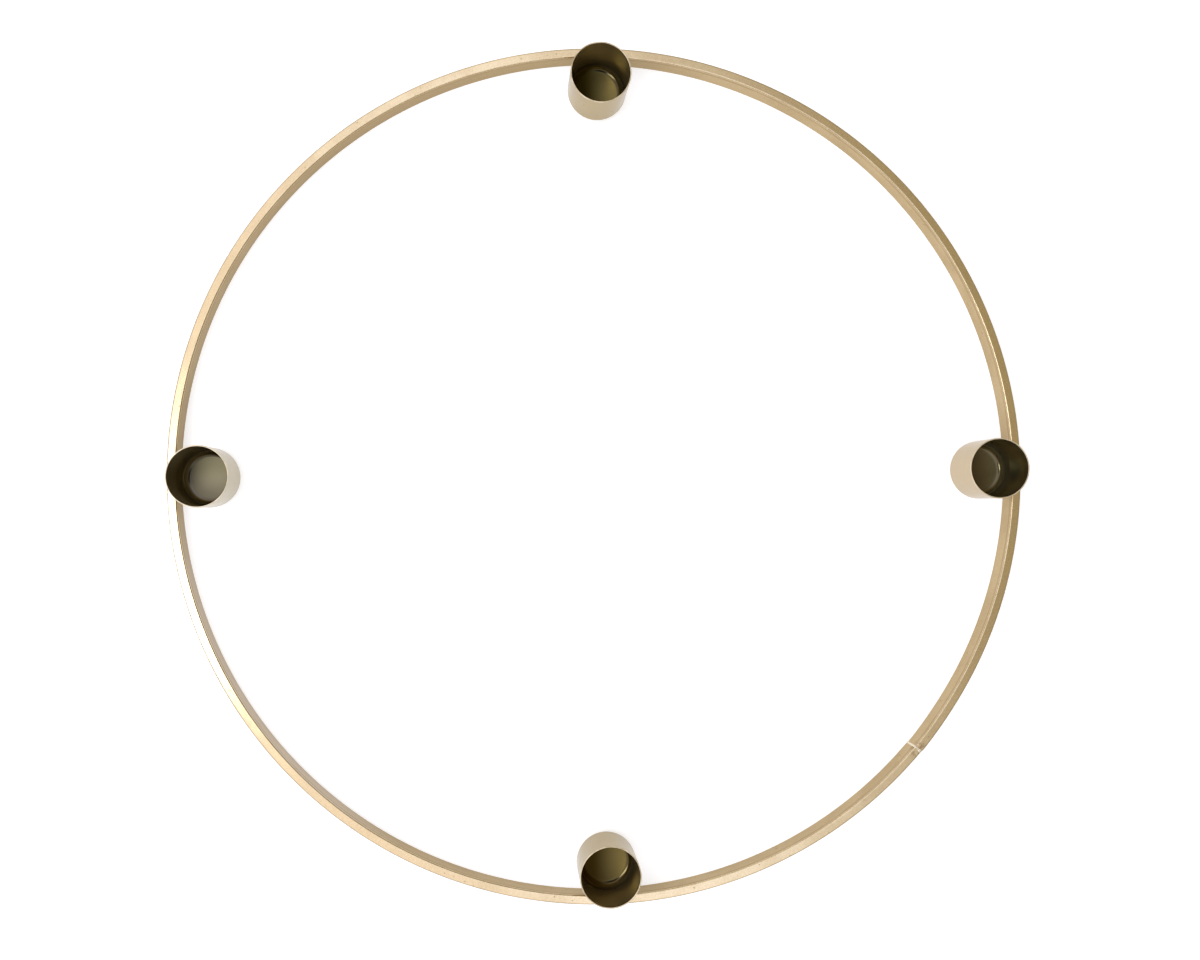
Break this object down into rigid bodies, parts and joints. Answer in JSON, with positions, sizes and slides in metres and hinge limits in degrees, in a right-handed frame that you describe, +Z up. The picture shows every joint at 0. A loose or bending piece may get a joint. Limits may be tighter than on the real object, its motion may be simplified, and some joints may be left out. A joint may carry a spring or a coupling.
{
  "type": "candle ring",
  "caption": "Flat metal hoop on edge with open drawn candle cups brazed to its inner face at the quarters, for a table wreath.",
  "frame": {"origin": "centre of the hoop on the plane of its underside, which rests on the table", "axes": "+Z up along the hoop's axis; +X towards the right-hand cup and +Y towards the back cup"},
  "size_m": [0.36, 0.36, 0.029],
  "materials": {
    "plated_bar": "satin champagne-gold plating over metal, fine grinding marks along the bar",
    "plated_cup": "satin champagne-gold plating outside, dark unpolished bronze tone inside",
    "plated_joint": "ground weld and braze metal, paler than the plating and slightly rougher"
  },
  "bodies": {
    "root": {"hoop_bar": "plated_bar", "hoop_seam_weld": "plated_joint", "candle_cup_right": "plated_cup", "candle_cup_back": "plated_cup", "candle_cup_left": "plated_cup", "candle_cup_front": "plated_cup", "braze_joint_right": "plated_joint", "braze_joint_back": "plated_joint", "braze_joint_left": "plated_joint", "braze_joint_front": "plated_joint"}
  },
  "joints": []
}
